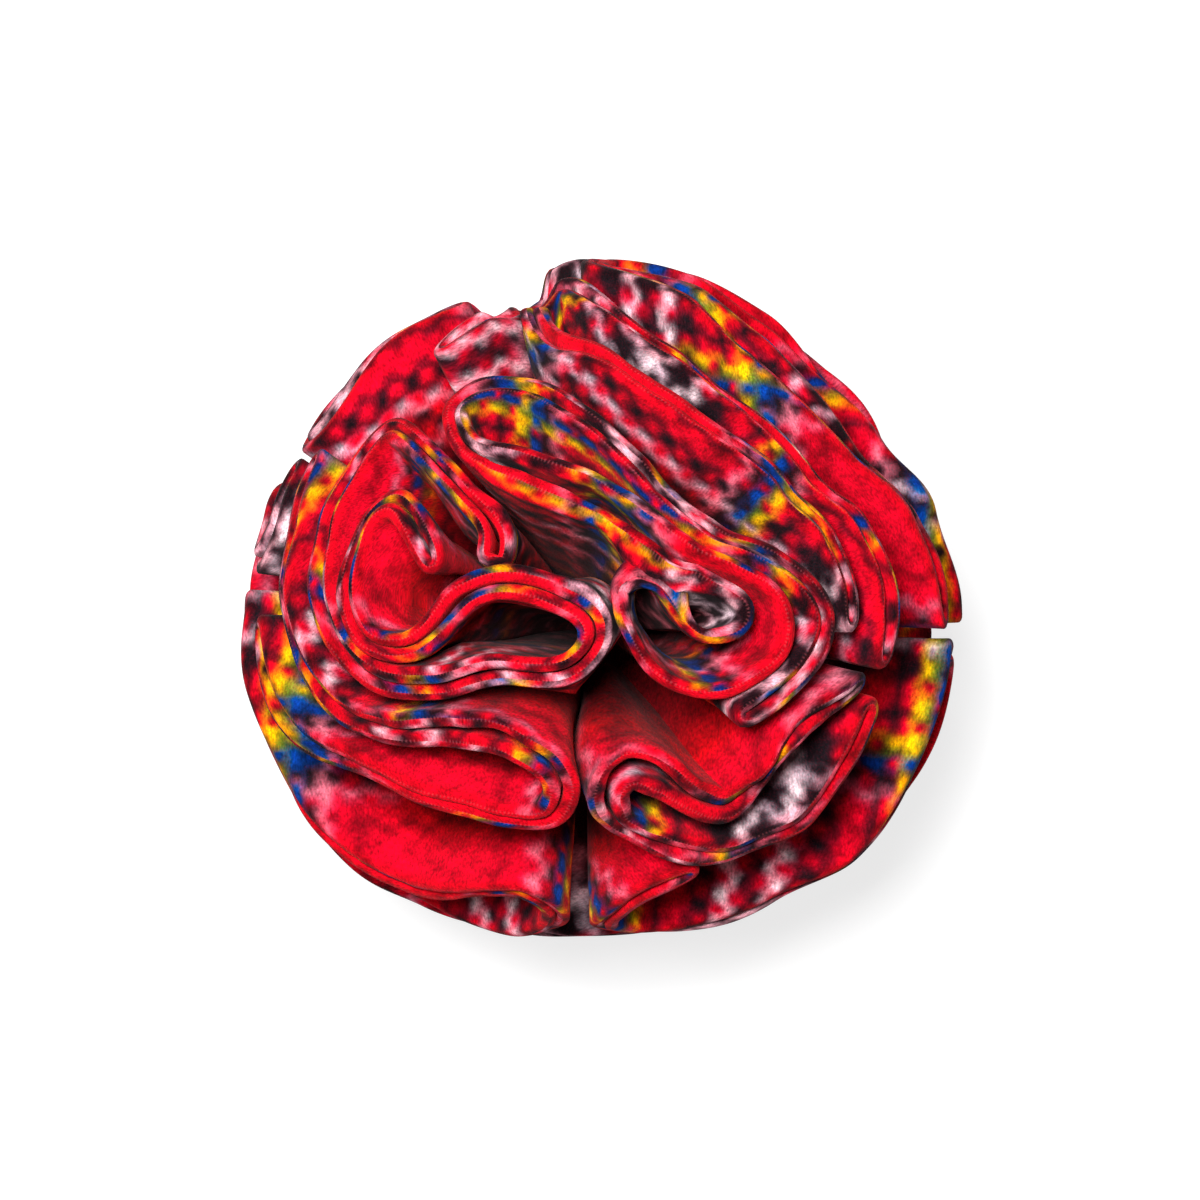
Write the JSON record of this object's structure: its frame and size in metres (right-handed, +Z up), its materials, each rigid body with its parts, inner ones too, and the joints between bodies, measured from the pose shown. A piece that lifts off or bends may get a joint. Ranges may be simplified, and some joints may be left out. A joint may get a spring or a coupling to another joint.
{
  "type": "dog snuffle ball",
  "caption": "Round dog snuffle ball of tartan fleece discs folded double and gathered at the middle, with deep pockets between the folds that hide treats.",
  "frame": {"origin": "middle of the underside's bounding rectangle, at the small flat spot that the ball rests on", "axes": "+Z up out of the pictured side, +X to its right, +Y towards its top"},
  "size_m": [0.1548, 0.1472, 0.1454],
  "materials": {
    "fleece": "soft printed fleece"
  },
  "bodies": {
    "root": {"sLoopDisc": "fleece", "hairpinDisc": "fleece", "topFanDisc": "fleece", "lowerLoopDisc": "fleece", "sideLoopDisc": "fleece", "sLoopDiscUnder": "fleece", "hairpinDiscUnder": "fleece", "topFanDiscUnder": "fleece", "lowerLoopDiscUnder": "fleece", "sideLoopDiscUnder": "fleece", "upperRightPetalDisc": "fleece", "lowerRightPetalDisc": "fleece", "lowerLeftPetalDisc": "fleece", "upperLeftPetalDisc": "fleece", "leftPetalDisc": "fleece", "topPetalDisc": "fleece"}
  },
  "joints": []
}
